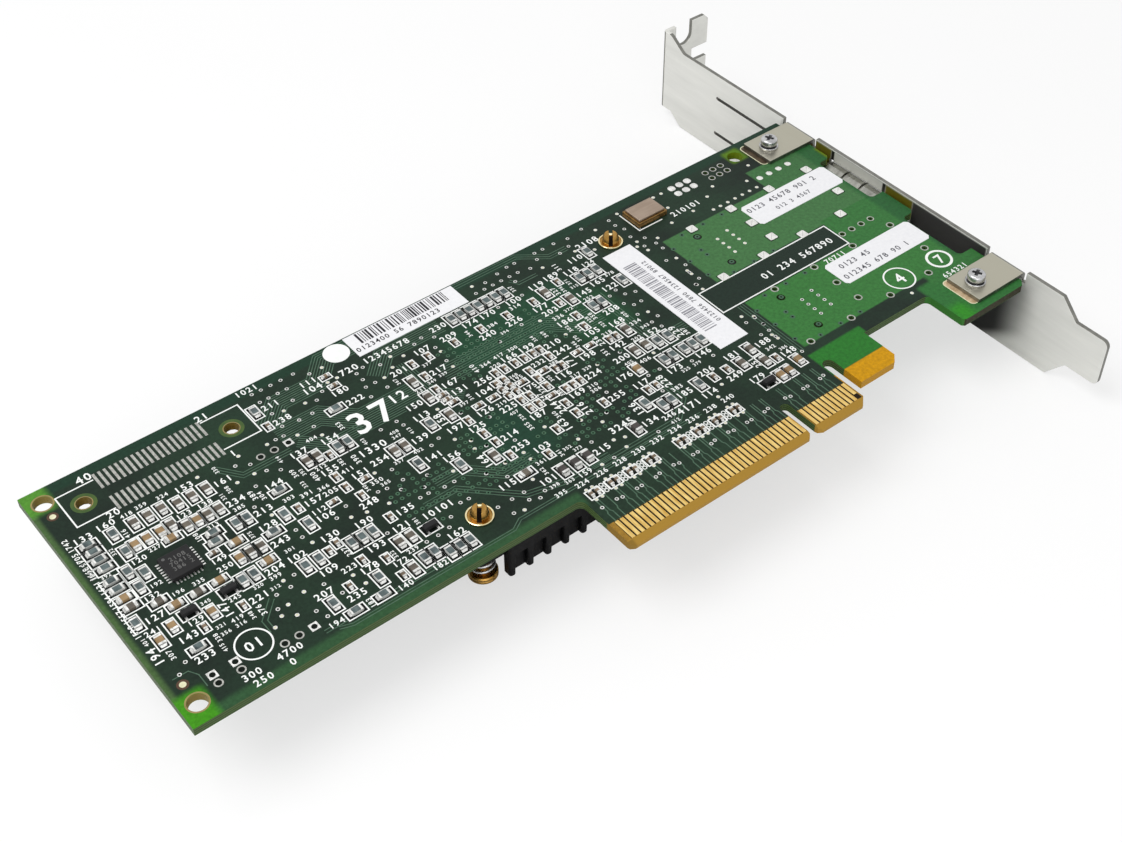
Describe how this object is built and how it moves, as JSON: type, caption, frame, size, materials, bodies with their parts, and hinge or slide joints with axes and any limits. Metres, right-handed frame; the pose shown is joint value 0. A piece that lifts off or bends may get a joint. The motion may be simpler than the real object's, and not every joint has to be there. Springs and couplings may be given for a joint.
{
  "type": "fibre channel adapter card",
  "caption": "Low expansion card with a notched edge connector, finned heat sink, one fibre port cage and a tall slotted steel bracket.",
  "frame": {"origin": "middle of the key notch, on the lower edge of the edge connector, in the solder face", "axes": "+X along the card toward the bracket, +Y toward the card's upper edge, +Z out of the solder face"},
  "size_m": [0.1797, 0.12, 0.0212],
  "materials": {
    "board_laminate": "satin solder mask",
    "gold_plating": "polished",
    "bracket_steel": "satin plated",
    "fastener_steel": "bright plated",
    "cage_metal": "satin plated",
    "black_plastic": "moulded",
    "solder": "tinned",
    "lens_plastic": "clear tinted",
    "package_laminate": "satin",
    "package_lid": "satin plated",
    "thermal_pad": "soft",
    "black_anodised": "black anodised",
    "push_pin_brass": "turned",
    "ceramic_base": "matt",
    "oscillator_lid": "satin",
    "chip_plastic": "moulded",
    "label_paper": "matt",
    "resistor_ceramic": "glazed",
    "grey_ceramic": "matt",
    "tan_ceramic": "matt",
    "ferrite": "matt",
    "capacitor_plastic": "moulded"
  },
  "bodies": {
    "root": {"circuit_board": "board_laminate", "edge_contacts_solder_side": "gold_plating", "edge_contacts_component_side": "gold_plating", "bracket": "bracket_steel", "bracket_screws": "fastener_steel", "screw_washers": "fastener_steel", "bracket_nuts": "fastener_steel", "port_cage": "cage_metal", "cage_spring_fingers": "cage_metal", "host_connector": "black_plastic", "host_connector_leads": "solder", "indicator_block": "black_plastic", "indicator_lenses": "lens_plastic", "controller_substrate": "package_laminate", "controller_lid": "package_lid", "thermal_pad": "thermal_pad", "heat_sink": "black_anodised", "push_pins": "push_pin_brass", "push_pin_springs": "fastener_steel", "oscillator_base": "ceramic_base", "oscillator_lid": "oscillator_lid", "power_controller": "chip_plastic", "label_upper_edge": "label_paper", "label_tall": "label_paper", "label_upper_port": "label_paper", "label_lower_port": "label_paper", "cage_solder_joints": "solder", "lead_solder_joints": "solder", "chip_resistors": "resistor_ceramic", "large_chip_capacitors": "grey_ceramic", "tan_chip_capacitors": "tan_ceramic", "small_chip_capacitors": "grey_ceramic", "coupling_capacitors": "grey_ceramic", "filter_beads": "ferrite", "small_transistors": "chip_plastic", "power_inductors": "ferrite", "polymer_capacitors": "capacitor_plastic", "power_switches": "chip_plastic", "program_memory": "chip_plastic", "serial_memory": "chip_plastic", "header_body": "black_plastic", "header_pins": "gold_plating", "component_side_chip_parts": "grey_ceramic"}
  },
  "joints": []
}
